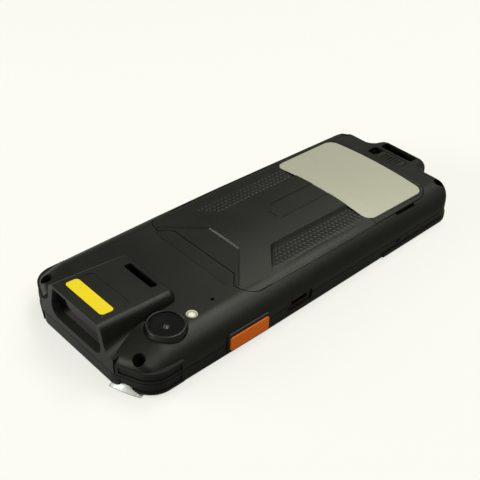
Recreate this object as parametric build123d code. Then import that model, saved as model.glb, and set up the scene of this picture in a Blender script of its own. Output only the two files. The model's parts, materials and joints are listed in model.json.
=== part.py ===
"""Rugged handheld barcode terminal, lying on its screen with its back up.

X runs across the width, Y along the length from the scanner face to the strap loop, Z up.
Each piece is modelled with Y measured from the scanner face and Z from the surface it lies on.
"""

import os
from functools import cache
from math import atan, degrees, hypot, radians, tan

from build123d import *

# ---------------------------------------------------------------- overall sizes
LENGTH = 174.9          # scanner face to the end of the strap loop
WIDTH = 69.2            # across the flat sides of the housing
BODY_T = 15.9           # back of the housing above the surface
FILM_T = 0.1            # shipping film on the screen side, which the terminal lies on
PARTING_Z = 6.0         # joint between the two housing halves
CLEAR = 0.3             # air between pieces that move past each other
FIT = 0.05              # air round a piece that is pressed or glued in

# plan outline
FACE_HALF = 20.0        # straight part of the scanner face
CORNER_S = 6.1          # where the slanted corner would meet the side
CORNER_R = 9.0
TAPER_S = 60.0          # the sides draw in from here to the strap end
TAPER_IN = 1.3
SHOULDER_S = 167.6
SHOULDER_R = 10.4
NECK_HALF = 14.4        # strap loop where it leaves the shoulder
NECK_R = 3.5
LOOP_HALF = 12.0
LOOP_R = 5.2

# side profile of the back
SCOOP_Z = 12.0          # height of the back at the scanner face
SCOOP_S = 14.5          # where the scoop reaches full height
SCOOP_R = 14.0
FALL_S = 90.0           # the back falls gently from here
FALL_SLOPE = 0.0174
ROLL_R = 9.6            # long rounding between the back and the sides
ROLL_OUT = 0.3          # how far the rounding would end outside the side
EDGE_R = 4.0            # rounding round the ends, which also softens the roll's foot
RIM_R = 1.2             # rounding round the screen side
SHADOW_GAP = 0.25       # step along the parting line

# scanner hump
HUMP_L = 32.5
HUMP_TOP_FRONT = 22.3
HUMP_TOP_BACK = 19.6
HUMP_FLARE_HALF = 21.0
HUMP_FRONT_HALF = (16.9, 14.9)   # foot and top of the side wall at the face
HUMP_BACK_HALF = (15.1, 14.3)    # foot and top of the side wall at the back
HUMP_FOOT_R = 4.8
HUMP_SIDE_R = 2.6
HUMP_BACK_R = 3.2

HUMP_PANEL_HALF = 11.4
HUMP_PANEL_S = (3.4, 15.8)
HUMP_PANEL_SINK = 0.15
LASER_X, LASER_S, LASER_SIZE = -0.6, 6.8, (21.6, 5.4)

# scan window
WINDOW_TOP = (12.6, 21.3)        # half width and height of its upper corners
WINDOW_MID = (14.4, 14.0)
WINDOW_LOW = 8.8
WINDOW_DEPTH = 2.8
WINDOW_DRAW = 0.9                # how much the recess narrows inwards
WINDOW_T = 1.0

# battery cover
COVER_FRONT_S = 56.8
COVER_FRONT_HALF = 16.9
COVER_EAR_S = 52.2
COVER_EAR_HALF = 21.9
COVER_EAR_R = 6.2
COVER_END_S = 155.9
COVER_SIDE = ((29.0, 53.5), (29.25, 90.0), (28.15, COVER_END_S))   # its side bows a little
COVER_END_R = 8.0
COVER_T = 2.6                    # housing back to the underside of the cover
SEAL_T = 0.45
SWELL_HALF = 27.0                # the cover swells over the battery between these half widths
SWELL = ((46.0, 1.3), (72.0, 1.8), (125.0, 1.8), (162.0, 1.3))   # place along the length and height
FRONT_DISH = [(19.5, 50.6, 0), (22.9, 53.2, 0), (8.35, 66.6, 0)]  # foot of the hollow at the cover's front
FRONT_DISH_Z = (BODY_T - 0.45, BODY_T + 1.1)                     # its floor at both ends
GRIP_DISH = [(30.5, 62.2, 0), (15.0, 78.0, 3.0), (15.2, 121.0, 0), (30.5, 121.0, 0)]
GRIP_DISH_Z = (BODY_T + 0.15, BODY_T - 0.45)
GRIP_SINK = 0.25                 # step of the hollow where it runs out over the rolled side
HOOK_X = 23.9
HOOK_W = 3.0
HOOK_REACH = 1.8
HOOK_DEPTH = 1.6                 # top of the hook below the back; its foot is level with the cover's

# label on the cover
LABEL_HALF = 26.2
LABEL_S = (119.3, 153.5)
LABEL_R = 4.2
LABEL_T = 0.15
LABEL_SINK = 0.3

# battery bay
BAY_HALF = 27.0
BAY_S = (62.6, 151.4)
BAY_FLOOR_Z = 7.6
BATTERY_DEPTH = 4.1              # battery below the back: cover, seal and air
CONTACT_L = 3.0

# screen side
GLASS_SINK = 0.25
GLASS_W, GLASS_L, GLASS_R, GLASS_T = 62.0, 130.0, 5.0, 1.1
GLASS_S = 13.5
PANEL_W, PANEL_L, PANEL_T = 56.4, 122.0, 1.8
SIDE_ROOM = 6.0                  # key wells, seal and bezels between the cavity and the side
CAVITY_S = (14.6, 157.6)
FRAME_T = 0.6
FRAME_END_S = 145.0
BOARD_Z = 4.1
BOARD_T = 0.8
SHIELD_T = 1.0

# side keys
TRIGGER_S = (38.6, 57.0)
TRIGGER_Z = (2.0, 8.0)
TRIGGER_FACE = 0.8               # orange face proud of the housing side
TRIGGER_R = 1.2
BEZEL_RIM = 1.1
BEZEL_FACE = 0.5
BEZEL_TOP = 9.4
BEZEL_DEPTH = 1.6
KEY_FLANGE_T = 0.7
KEY_FLANGE_LIP = 0.6
KEY_TRAVEL = 0.6
POWER_S = (67.0, 78.0)
VOLUME_S = (84.0, 106.0)
SIDE_KEY_Z = (2.0, 5.2)
SIDE_KEY_FACE = 0.5
WALL_T = 1.2                     # side wall in front of a plain key's flange
ROCKER_PLAY = 0.4                # lets the rocker's ends move out as well as in
ROCKER_FLANGE_T = 0.5

# front keys
FRONT_KEY_S = 151.6
FRONT_KEY_X = (-17.0, 0.0, 17.0)
FRONT_KEY_W, FRONT_KEY_L = 11.0, 5.0
FRONT_KEY_SINK = 0.15
FRONT_KEY_FLOOR = 2.4
FRONT_KEY_TRAVEL = 0.5

# socket, camera and small openings
USB_S, USB_Z = 73.4, 5.55
USB_MOUTH = (12.7, 5.1)
USB_SHELL = (8.94, 3.2)
USB_WALL = 0.3
USB_DEPTH = 7.4
USB_SINK = 0.8
CAMERA_X, CAMERA_S = 23.0, 20.6
RING_BASE_R, RING_TOP_R, RING_H = 7.4, 7.0, 1.6
CAMERA_GLASS_R = 6.1
FLASH_X, FLASH_S, FLASH_R = 23.6, 31.2, 2.1
MIC_X, MIC_S, MIC_R = 22.4, 41.5, 0.7
SLOT_S, SLOT_W, SLOT_HALF = 27.9, 3.3, 8.0

# screws, bumpers, strap end
SCREW_FRONT = (27.1, 6.1)
SCREW_REAR = (26.1, 163.8)
SCREW_HOLE_R = 2.2
SCREW_HEAD_R, SCREW_HEAD_T, SCREW_HEAD_Z = 2.0, 1.4, 9.6
SCREW_SHANK_R = 0.9
BUMPER_PROUD = 0.4
BUMPER_SINK = 0.45
BUMPER_FILL = 3.5               # how far the rear bumper may reach in over the roll of the back
BUMPER_X, BUMPER_S = 21.6, 18.5
BUMPER_DEPTH = 5.3               # bumper top below the back
BUMPER_GAP = 0.15
BUMPER_FRAME = 1.0
CHIN_S, CHIN_X, CHIN_TOP = 121.0, 17.5, 2.6
STRAP_S = (166.9, 171.9)
STRAP_HALF = 8.5
STRAP_R = 1.6
LATCH_S = (159.3, 165.4)
LATCH_X = (-9.7, 8.4)
LATCH_LENGTH = 13.0
LATCH_TRAVEL = 4.5
LATCH_T = 1.6
LATCH_WELL = 3.4
TONGUE_W = 5.0
TONGUE_T = 1.2
NOTCH_S = (132.4, 143.9)
NOTCH_X = (28.4, 29.7)
NOTCH_Z = BODY_T - 4.3
PRY_S, PRY_Z, PRY_SIZE = 129.8, 4.7, (3.0, 1.0)

# shipping film
FILM_EDGE = ((WIDTH / 2 - 17.1, 1.0), (WIDTH / 2 - 3.3, 6.4))
FILM_HALF = WIDTH / 2 - 1.4
FILM_END_S = 161.0
TAB_W = 12.4
TAB_FLAT = 0.7                   # flat length before it curls
TAB_R = 7.0
TAB_TURN = 23.0

# worked out from the above
SIDE = WIDTH / 2
END_SIDE = SIDE - TAPER_IN
SLOPE_S = (END_SIDE - SIDE) / (SHOULDER_S - TAPER_S)
FACE_Z = FILM_T                               # screen-side face of the housing
GLASS_Z = FACE_Z + GLASS_SINK
PANEL_Z = GLASS_Z + GLASS_T
FRAME_Z = PANEL_Z + PANEL_T
SHIELD_Z = BOARD_Z + BOARD_T
CAVITY_HALF = SIDE - SIDE_ROOM
GLASS_MID = GLASS_S + GLASS_L / 2
HINGE_S = COVER_EAR_S - CLEAR / 2


# ---------------------------------------------------------------- helpers
def rounded(points):
    """Face inside corner points (u, v, corner radius)."""
    path = FilletPolyline(*[(u, v) for u, v, r in points], radius=[r for u, v, r in points], close=True)
    return make_face(path.edges())


def mirrored(half):
    """Closed list of corners from those of the +X half, front to back."""
    return half + [(-u, v, r) for u, v, r in reversed(half)]


def plate(face, z0, z1):
    """Face of the XY plane raised from z0 to z1."""
    return Pos(0, 0, z0) * extrude(face, z1 - z0)


def block(x, s, z):
    """Box from its (low, high) pairs."""
    size = [high - low for low, high in (x, s, z)]
    return Pos(*[(low + high) / 2 for low, high in (x, s, z)]) * Box(*size)


def pad(x, s, z, radius):
    """Box with rounded upright edges."""
    face = RectangleRounded(x[1] - x[0], s[1] - s[0], radius)
    return plate(Pos((x[0] + x[1]) / 2, (s[0] + s[1]) / 2) * face, *z)


def side_pad(x, s, z, radius):
    """Box with rounded edges along X, as on the sides of the housing."""
    face = RectangleRounded(s[1] - s[0], z[1] - z[0], radius)
    plane = Plane.YZ.offset(x[0])
    return extrude(plane * (Pos((s[0] + s[1]) / 2, (z[0] + z[1]) / 2) * face), x[1] - x[0])


def disc(x, s, z, radius):
    """Upright cylinder between two heights."""
    return Pos(x, s, (z[0] + z[1]) / 2) * Cylinder(radius, z[1] - z[0])


def grow(pair, amount):
    return (pair[0] - amount, pair[1] + amount)


def side_at(s):
    """Half width of the housing at a distance from the scanner face."""
    return SIDE + SLOPE_S * max(0.0, s - TAPER_S)


def back_z(s):
    """Height of the back along the middle, past the scoop."""
    return BODY_T - FALL_SLOPE * max(0.0, s - FALL_S)


def mirror_x(solid):
    return mirror(solid, Plane.YZ)


# ---------------------------------------------------------------- housing envelope
def outline(inset=0.0):
    """Plan of both housing halves with the strap loop."""
    half = [
        (FACE_HALF, 0, 6.0), (SIDE, CORNER_S, CORNER_R), (SIDE, TAPER_S, 300.0),
        (END_SIDE, SHOULDER_S, SHOULDER_R), (NECK_HALF, SHOULDER_S, NECK_R), (LOOP_HALF, LENGTH, LOOP_R),
    ]
    face = rounded(mirrored(half))
    return offset(face, amount=-inset) if inset else face


def under_back(depth=0.0):
    """Everything below the back surface, lowered by a depth."""
    rise = (BODY_T - SCOOP_Z) / SCOOP_S
    beyond = 20.0
    corners = [
        (-beyond, SCOOP_Z - beyond * rise, 0), (SCOOP_S, BODY_T, SCOOP_R), (FALL_S, BODY_T, 600.0),
        (LENGTH + beyond, back_z(LENGTH + beyond), 0), (LENGTH + beyond, -beyond, 0), (-beyond, -beyond, 0),
    ]
    section = extrude(Plane.YZ * rounded(corners), WIDTH, both=True)
    return Pos(0, 0, -depth) * section


def over_back(depth):
    """Everything above the back surface lowered by a depth."""
    return block((-WIDTH, WIDTH), (-20, LENGTH + 10), (0, 2 * BODY_T)) - under_back(depth)


def rolled_back():
    """Slab under the back with its long edges rolled down, longer than the housing at both ends."""
    beyond = 20.0
    end_half = side_at(LENGTH + beyond) + ROLL_OUT
    half = [(SIDE + ROLL_OUT, -beyond, 0), (SIDE + ROLL_OUT, TAPER_S, 300.0), (end_half, LENGTH + beyond, 0)]
    slab = plate(rounded(mirrored(half)), FACE_Z, 2 * BODY_T) & under_back()
    long_edges = [
        edge for edge in slab.edges()
        if abs(edge.center().X) > 0.85 * SIDE and edge.bounding_box().min.Z > FACE_Z
        and edge.bounding_box().size.Y > edge.bounding_box().size.Z
    ]
    return fillet(long_edges, ROLL_R)


@cache
def envelope():
    """Both halves in one, rolled along the sides and rounded all round the back."""
    solid = plate(outline(), FACE_Z, 2 * BODY_T) & rolled_back()
    walls = [face for face in solid.faces() if abs(face.normal_at().Z) < 0.01]
    rim = []
    for edge in [edge for wall in walls for edge in wall.edges()]:
        size = edge.bounding_box().size
        upper = edge.bounding_box().min.Z > FACE_Z + 1 and size.X + size.Y > 0.01
        if upper and not any(edge.is_same(other) for other in rim):
            rim.append(edge)
    return fillet(rim, EDGE_R)


def hump_section(s, foot_z, halves, foot_r):
    """Cross section of the hump with flared feet."""
    top_z = HUMP_TOP_FRONT + (HUMP_TOP_BACK - HUMP_TOP_FRONT) * s / HUMP_L
    foot, top = halves
    half = [(HUMP_FLARE_HALF, PARTING_Z, 0), (HUMP_FLARE_HALF, foot_z, 0), (foot, foot_z, foot_r), (top, top_z, 0)]
    return Plane.XZ.offset(-s) * rounded(mirrored(half))


def hump():
    """Scanner hump, its feet flared at the face and its top edges rounded."""
    buried = BODY_T - 0.3
    middle = [(a + b) / 2 for a, b in zip(HUMP_FRONT_HALF, HUMP_BACK_HALF)]
    sections = [
        hump_section(0, SCOOP_Z, HUMP_FRONT_HALF, HUMP_FOOT_R),
        hump_section(HUMP_L / 2, buried, middle, 0.6),
        hump_section(HUMP_L, buried, HUMP_BACK_HALF, 0.6),
    ]
    solid = loft(sections, ruled=True)
    back = [e for e in solid.edges() if abs(e.center().Y - HUMP_L) < 0.1 and e.center().Z > BODY_T]
    upright = [e for e in back if e.bounding_box().size.Z > 1]
    solid = fillet(upright, HUMP_BACK_R)
    crest = [
        e for e in solid.edges()
        if e.center().Z > HUMP_TOP_BACK - 0.2 and e.bounding_box().size.Y > 0.5 and abs(e.center().X) > 8
    ]
    return fillet(crest, HUMP_SIDE_R)


HUMP_TILT = degrees(atan((HUMP_TOP_FRONT - HUMP_TOP_BACK) / HUMP_L))


def on_hump(s):
    """Place on the hump's sloping top."""
    return Pos(0, s, HUMP_TOP_FRONT - s * tan(radians(HUMP_TILT))) * Rot(-HUMP_TILT, 0, 0)


def laser_label():
    """Plain sticker on the sunk panel of the hump's top."""
    return on_hump(LASER_S) * Pos(LASER_X, 0, -HUMP_PANEL_SINK) * extrude(RectangleRounded(*LASER_SIZE, 1.4), 0.12)


def sticker_panel():
    """Sunk panel in the hump's top."""
    size = (2 * HUMP_PANEL_HALF, HUMP_PANEL_S[1] - HUMP_PANEL_S[0])
    panel = Pos(0, 0, -HUMP_PANEL_SINK) * extrude(RectangleRounded(*size, 2.0), 3)
    return on_hump(sum(HUMP_PANEL_S) / 2) * panel


# ---------------------------------------------------------------- scanner window
def window_section(s, inset):
    (top_half, top_z), (mid_half, mid_z) = WINDOW_TOP, WINDOW_MID
    half = [
        (mid_half - inset, WINDOW_LOW + inset, 4.0 - inset), (mid_half - inset, mid_z, 6.0),
        (top_half - inset, top_z - inset, 0.8),
    ]
    return Plane.XZ.offset(-s) * rounded(mirrored(half))


def window_recess():
    """Drafted opening that narrows to the glass."""
    return loft([window_section(-0.01, 0), window_section(WINDOW_DEPTH, WINDOW_DRAW)], ruled=True)


def scan_window(air=0.0):
    """Dark glass behind the recess, wider than the opening all round."""
    seat = WINDOW_DRAW - 0.7 - air
    return extrude(window_section(WINDOW_DEPTH - air, seat), -(WINDOW_T + air))


ENGINE_X = (-10.6, 10.6)
ENGINE_S = (WINDOW_DEPTH + WINDOW_T + 0.4, 20.0)
ENGINE_Z = (8.2, 17.8)


def scan_engine():
    """Scan engine block with round imaging and square aiming windows."""
    body = block(ENGINE_X, ENGINE_S, ENGINE_Z)
    front = Plane.XZ.offset(-ENGINE_S[0])
    lens_z = sum(ENGINE_Z) / 2
    body -= extrude(front * (Pos(-4.5, lens_z) * (Circle(3.4) - Circle(2.2))), -1.2)
    return body - extrude(front * (Pos(5.2, lens_z) * RectangleRounded(5.6, 3.4, 0.6)), -1.2)


# ---------------------------------------------------------------- battery cover
def cover_outline(grow_by=0.0):
    half = [
        (COVER_FRONT_HALF, COVER_FRONT_S, 1.5), (COVER_EAR_HALF, COVER_EAR_S, 1.0),
        (*COVER_SIDE[0], COVER_EAR_R), (*COVER_SIDE[1], 300.0), (*COVER_SIDE[2], COVER_END_R),
    ]
    face = rounded(mirrored(half))
    return offset(face, amount=grow_by) if grow_by else face


def hook_block(air=0.0):
    """Hooks on the cover's front ears, or the room that they sweep when air is given."""
    side = (HOOK_X - HOOK_W / 2 - air, HOOK_X + HOOK_W / 2 + air)
    top = BODY_T - HOOK_DEPTH
    if air:
        sweep = hypot(HOOK_REACH, COVER_T) + air
        one = block(side, (HINGE_S - HOOK_REACH - air, HINGE_S + 3), (BODY_T - sweep, top + air - 0.05))
    else:
        one = block(side, (HINGE_S - HOOK_REACH, HINGE_S + 2.5), (BODY_T - COVER_T, top))
    return one + mirror_x(one)


def swell():
    """Low arch over the battery that the cover's back follows."""
    sections = []
    for s, height in SWELL:
        end_z = back_z(s) - 0.2
        arc = ThreePointArc((-SWELL_HALF, end_z), (0, back_z(s) + height), (SWELL_HALF, end_z))
        low = end_z - 3
        lines = Polyline((SWELL_HALF, end_z), (SWELL_HALF, low), (-SWELL_HALF, low), (-SWELL_HALF, end_z))
        sections.append(Plane.XZ.offset(-s) * make_face((arc + lines).edges()))
    return loft(sections, ruled=True)


def under_cover(depth=0.0):
    """Everything below the cover's outer surface, lowered by a depth."""
    return Pos(0, 0, -depth) * (rolled_back() + swell())


def over_cover(depth):
    """Everything above the cover's outer surface lowered by a depth."""
    return block((-WIDTH, WIDTH), (40, LENGTH), (BODY_T - 8, 2 * BODY_T)) - under_cover(depth)


def dish(foot, z, s):
    """Hollow with walls at 45 degrees and a floor that runs from z[0] to z[1] between two places."""
    height = 4.0
    mouth = offset(foot, amount=height, kind=Kind.INTERSECTION)
    solid = loft([foot, Pos(0, 0, height) * mouth], ruled=True)
    slope = degrees(atan((z[1] - z[0]) / (s[1] - s[0])))
    return Pos(0, s[0], z[0]) * Rot(slope, 0, 0) * Pos(0, -s[0], 0) * solid


def front_dish():
    """Hollow shared by the cover's front and the housing before it."""
    return dish(rounded(mirrored(FRONT_DISH)), FRONT_DISH_Z, (FRONT_DISH[0][1], FRONT_DISH[-1][1]))


def grip_dish():
    """Hollow for the textured grip beside the raised middle panel, run out over the rolled side."""
    foot = rounded(GRIP_DISH)
    hollow = dish(foot, GRIP_DISH_Z, (GRIP_DISH[0][1], GRIP_DISH[-1][1]))
    return hollow + (plate(foot, 0, 2 * BODY_T) & over_cover(GRIP_SINK))


def inset_plate():
    """Outline of the small sunk plate in the middle panel."""
    corners = [(4.4, 91.8, 0.6), (4.4, 121.0, 0), (-4.9, 121.0, 0), (-4.9, 96.0, 0.8), (-1.2, 91.8, 0.8)]
    return rounded(corners)


def label_pad(air=0.0):
    return pad((-LABEL_HALF - air, LABEL_HALF + air), grow(LABEL_S, air), (0, 2 * BODY_T), LABEL_R + air)


def battery_cover():
    """Lift-off cover with a raised panel, grip hollows and two hooks at its front ears."""
    cover = (plate(cover_outline(), BODY_T - 6, 2 * BODY_T) & under_cover()) - under_back(COVER_T)
    cover += hook_block()
    cover -= front_dish()
    grip = grip_dish()
    cover -= grip
    cover -= mirror_x(grip)
    cover -= plate(inset_plate(), 0, 2 * BODY_T) & over_cover(0.2)
    return cover - (label_pad(FIT) & over_cover(LABEL_SINK))


def cover_label():
    return (label_pad() & under_cover(LABEL_SINK - LABEL_T)) - under_cover(LABEL_SINK)


def cover_seal():
    """Gasket under the cover's edge."""
    ring = plate(cover_outline(-0.7) - cover_outline(-1.7), 0, 2 * BODY_T)
    return (ring & under_back(COVER_T)) - under_back(COVER_T + SEAL_T)


# ---------------------------------------------------------------- battery and bay
BATTERY_S = (BAY_S[0] + CONTACT_L + 0.4, BAY_S[1] - 0.3)
BATTERY_T = BODY_T - BATTERY_DEPTH - BAY_FLOOR_Z
BATTERY_Z = (BAY_FLOOR_Z + FIT, BAY_FLOOR_Z + FIT + BATTERY_T)
BATTERY_MID = (BATTERY_Z[0] + BATTERY_Z[1]) / 2


def battery():
    """Flat pack with a pull strap notch and contact pads at its front."""
    pack = pad((-BAY_HALF + 0.3, BAY_HALF - 0.3), BATTERY_S, BATTERY_Z, 2.0)
    pack = fillet(pack.edges().group_by(Axis.Z)[-1], 0.8)
    pad_z = (BATTERY_MID - 1.15, BATTERY_MID + 1.45)
    for x in contact_places():
        pack -= block((x - 0.9, x + 0.9), (BATTERY_S[0] - 1, BATTERY_S[0] + 0.25), pad_z)
    return pack


def contact_places():
    return [-4.5, -1.5, 1.5, 4.5]


def battery_contacts():
    """Contact block with four sprung blades."""
    base = block((-7.0, 7.0), (BAY_S[0], BAY_S[0] + 2.2), (BAY_FLOOR_Z, BODY_T - 4.3))
    blade_z = (BATTERY_MID - 0.55, BATTERY_MID + 0.85)
    for x in contact_places():
        base += block((x - 0.5, x + 0.5), (BAY_S[0] + 2.0, BATTERY_S[0] - 0.1), blade_z)
    return base


CARD_X, CARD_S, CARD_Z = (-8.0, 8.0), (72.0, 87.0), (6.35, BAY_FLOOR_Z)


def card_holder():
    """Card socket under the battery, open towards the scanner end."""
    shell = block(CARD_X, CARD_S, CARD_Z)
    return shell - block((CARD_X[0] + 0.8, CARD_X[1] - 0.8), (CARD_S[0] - 1, CARD_S[1] - 2), (6.6, 7.3))


# ---------------------------------------------------------------- screen side
def display_glass():
    glass = pad((-GLASS_W / 2, GLASS_W / 2), (GLASS_S, GLASS_S + GLASS_L), (GLASS_Z, PANEL_Z), GLASS_R)
    return glass - pad((-4.0, 4.0), (GLASS_S + 2.6, GLASS_S + 3.8), (0, 3), 0.59)


def earpiece_mesh():
    """Fine mesh strip in the slot of the glass."""
    return pad((-3.95, 3.95), (GLASS_S + 2.65, GLASS_S + 3.75), (GLASS_Z + 0.3, PANEL_Z - 0.3), 0.5)


def display_panel():
    return pad(
        (-PANEL_W / 2, PANEL_W / 2), (GLASS_MID - PANEL_L / 2 + 1, GLASS_MID + PANEL_L / 2 - 1),
        (PANEL_Z, FRAME_Z), 1.0,
    )


def mid_frame():
    """Sheet frame behind the display with standoffs for the board."""
    frame = pad((-CAVITY_HALF + FIT, CAVITY_HALF - FIT), (CAVITY_S[0] + FIT, FRAME_END_S),
                (FRAME_Z, FRAME_Z + FRAME_T), 2.0)
    for s in (22.0, 60.0, 98.0, 138.0):
        for x in (-24.5, 24.5):
            frame += disc(x, s, (FRAME_Z + FRAME_T / 2, BOARD_Z), 1.6)
    return frame


def main_board():
    """Circuit board on the frame's standoffs, notched for the data socket."""
    edge = CAVITY_HALF - 0.3
    board = pad((-edge, edge), (CAVITY_S[0] + 1.4, CAVITY_S[1] - 0.6), (BOARD_Z, SHIELD_Z), 2.0)
    reach = SIDE - USB_DEPTH - USB_SINK
    board -= block((reach - 0.3, edge + 1), grow((USB_S - USB_SHELL[0] / 2, USB_S + USB_SHELL[0] / 2), 0.3), (0, 9))
    return board


SHIELDS = (
    ((-24.0, -2.0), (24.0, 52.0)), ((2.0, 22.0), (34.0, 60.0)),
    ((-22.0, 6.0), (66.0, 92.0)), ((-16.0, 16.0), (104.0, 132.0)),
)


def board_shields():
    """Pressed shield cans on the board."""
    cans = [pad(x, s, (SHIELD_Z, SHIELD_Z + SHIELD_T), 1.0) for x, s in SHIELDS]
    return Compound(cans)


# ---------------------------------------------------------------- side keys
KEY_AIR = 0.25
WELL_X = SIDE - 4.0


def key_shape(s, z, faces, lip, radius):
    """Cap through the wall with a flange behind it, on the +X side; faces are (flange back, front, cap)."""
    back, front, face = faces
    cap = side_pad((front - 0.1, face), s, z, radius)
    rim = [e for e in cap.edges() if e.center().X > face - 0.01]
    cap = fillet(rim, 0.35)
    return cap + block((back, front), grow(s, lip), z)


BEZEL_X = (SIDE - BEZEL_DEPTH, SIDE + BEZEL_FACE)
BEZEL_S = grow(TRIGGER_S, BEZEL_RIM)
SWITCH_T = BEZEL_X[0] - FIT - KEY_FLANGE_T - KEY_TRAVEL - KEY_AIR - WELL_X
BEZEL_Z = (TRIGGER_Z[0] - 0.8, BEZEL_TOP)


def trigger():
    """Scan trigger bar on the +X side."""
    front = BEZEL_X[0] - FIT
    faces = (front - KEY_FLANGE_T, front, SIDE + TRIGGER_FACE)
    return key_shape(TRIGGER_S, TRIGGER_Z, faces, KEY_FLANGE_LIP, TRIGGER_R)


def trigger_bezel():
    """Frame round the trigger, let into both housing halves."""
    frame = side_pad(BEZEL_X, grow(BEZEL_S, -FIT), grow(BEZEL_Z, -FIT), 1.5)
    frame = fillet([e for e in frame.edges() if e.center().X > BEZEL_X[1] - 0.01], 0.4)
    opening = side_pad((0, SIDE + 5), grow(TRIGGER_S, KEY_AIR), grow(TRIGGER_Z, KEY_AIR), TRIGGER_R + KEY_AIR)
    return frame - opening


def trigger_room():
    """Room for the bezel, the flange behind it and its switch."""
    mouth = side_pad((BEZEL_X[0], SIDE + 5), BEZEL_S, BEZEL_Z, 1.5)
    lip = KEY_FLANGE_LIP + KEY_AIR
    return mouth + block((WELL_X, BEZEL_X[0] + 0.1), grow(TRIGGER_S, lip), grow(TRIGGER_Z, KEY_AIR))


def wall_inner(s):
    """Inner face of the plain wall round a side key."""
    return side_at(sum(s) / 2) - WALL_T


def wall_key(s, play=FIT, flange=KEY_FLANGE_T):
    """Key in the plain wall; play is the air in front of its flange."""
    front = wall_inner(s) - play
    return key_shape(s, SIDE_KEY_Z, (front - flange, front, side_at(sum(s) / 2) + SIDE_KEY_FACE), KEY_FLANGE_LIP, 1.0)


def wall_key_room(s):
    """Hole in the side wall and the well behind it, open to the joint of the halves."""
    front = wall_inner(s)
    hole = side_pad((front, SIDE + 5), grow(s, KEY_AIR), grow(SIDE_KEY_Z, KEY_AIR), 1.0 + KEY_AIR)
    well_s = grow(s, KEY_FLANGE_LIP + KEY_AIR)
    return hole + block((WELL_X, front), well_s, (SIDE_KEY_Z[0] - KEY_AIR, PARTING_Z + 1))


def switch(s, z):
    """Dome switch on the well's back wall."""
    body = block((WELL_X, WELL_X + SWITCH_T * 0.6), (s - 2.2, s + 2.2), (z - 1.2, z + 1.2))
    dome = Pos(WELL_X + SWITCH_T / 2, s, z) * Rot(0, 90, 0) * Cylinder(0.9, SWITCH_T)
    return body + dome


def side_key_switches():
    trigger_s, trigger_z = sum(TRIGGER_S) / 2, sum(TRIGGER_Z) / 2
    key_z = sum(SIDE_KEY_Z) / 2
    left = [mirror_x(switch(s, key_z)) for s in (sum(POWER_S) / 2, VOLUME_S[0] + 4, VOLUME_S[1] - 4)]
    both = [switch(trigger_s, trigger_z), mirror_x(switch(trigger_s, trigger_z))]
    return Compound([part.solid() for part in both + left])


# ---------------------------------------------------------------- front keys
def front_key(x):
    """Oval key through the chin, flanged inside."""
    z0 = FACE_Z + FRONT_KEY_SINK
    size = ((x - FRONT_KEY_W / 2, x + FRONT_KEY_W / 2), (FRONT_KEY_S - FRONT_KEY_L / 2, FRONT_KEY_S + FRONT_KEY_L / 2))
    cap = pad(*size, (z0, FRONT_KEY_FLOOR + FIT + 0.1), 2.2)
    cap = fillet(cap.edges().group_by(Axis.Z)[0], 0.3)
    floor = FRONT_KEY_FLOOR + FIT
    return cap + pad(grow(size[0], 0.7), grow(size[1], 0.7), (floor, floor + 0.6), 2.6)


def front_key_holes():
    holes = Part()
    for x in FRONT_KEY_X:
        half_w, half_l = FRONT_KEY_W / 2 + KEY_AIR, FRONT_KEY_L / 2 + KEY_AIR
        holes += pad((x - half_w, x + half_w), (FRONT_KEY_S - half_l, FRONT_KEY_S + half_l), (-1, 4), 2.4)
    return holes


def front_key_switches():
    """Dome switches under the board, one above each key."""
    top = BOARD_Z
    low = FRONT_KEY_FLOOR + FIT + 0.6 + FRONT_KEY_TRAVEL + 0.2
    return Compound([disc(x, FRONT_KEY_S, (low, top), 1.8) for x in FRONT_KEY_X])


# ---------------------------------------------------------------- data socket
def usb_face(grow_by=0.0):
    width, height = USB_SHELL[0] + 2 * grow_by, USB_SHELL[1] + 2 * grow_by
    return RectangleRounded(width, height, height / 2 - 0.01)


USB_X = (SIDE - USB_SINK - USB_DEPTH, SIDE - USB_SINK)


def along_x(face, x, s=USB_S, z=USB_Z):
    """Face of the side plane moved to (s, z) and raised between two X."""
    return extrude(Plane.YZ.offset(x[0]) * (Pos(s, z) * face), x[1] - x[0])


def usb_shell():
    inner = (USB_X[0] + 0.6, USB_X[1] + 1)
    return along_x(usb_face(), USB_X) - along_x(usb_face(-USB_WALL), inner)


def usb_tongue():
    return along_x(Rectangle(6.69, 0.7), (USB_X[0] + 0.6, USB_X[1] - 1.1))


def usb_room():
    """Shallow mouth in the side and the hole for the socket."""
    mouth = along_x(RectangleRounded(*USB_MOUTH, 1.6), (USB_X[1], SIDE + 5))
    return mouth + along_x(usb_face(FIT), (USB_X[0] - 0.2, USB_X[1] + 0.1))


# ---------------------------------------------------------------- bumpers, seal and screws
def corner_band(z, inner, outer, x_from, s_to, margin=0.0):
    """Band along the outline round a scanner corner."""
    ring = outline(-outer) - outline(inner)
    region = block((x_from + margin, SIDE + 5), (-5, s_to - margin), (-5, 40))
    return plate(ring, *z) & region


def corner_bumper(z):
    """Soft corner piece with a sunk panel."""
    band = corner_band(z, BUMPER_SINK - FIT, BUMPER_PROUD, BUMPER_X, BUMPER_S)
    panel_z = grow(z, -BUMPER_FRAME)
    return band - corner_band(panel_z, 0.0, 2 * BUMPER_PROUD, BUMPER_X, BUMPER_S, BUMPER_FRAME)


REAR_BUMPER_Z = (PARTING_Z + BUMPER_GAP, BODY_T - BUMPER_DEPTH)
FRONT_BUMPER_Z = (RIM_R, PARTING_Z - BUMPER_GAP)


def rear_bumper():
    """Upper corner piece, which also fills the roll of the back up to its own flat top."""
    fill = corner_band(REAR_BUMPER_Z, BUMPER_FILL, 0, BUMPER_X, BUMPER_S) - envelope()
    return corner_bumper(REAR_BUMPER_Z) + fill


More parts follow.
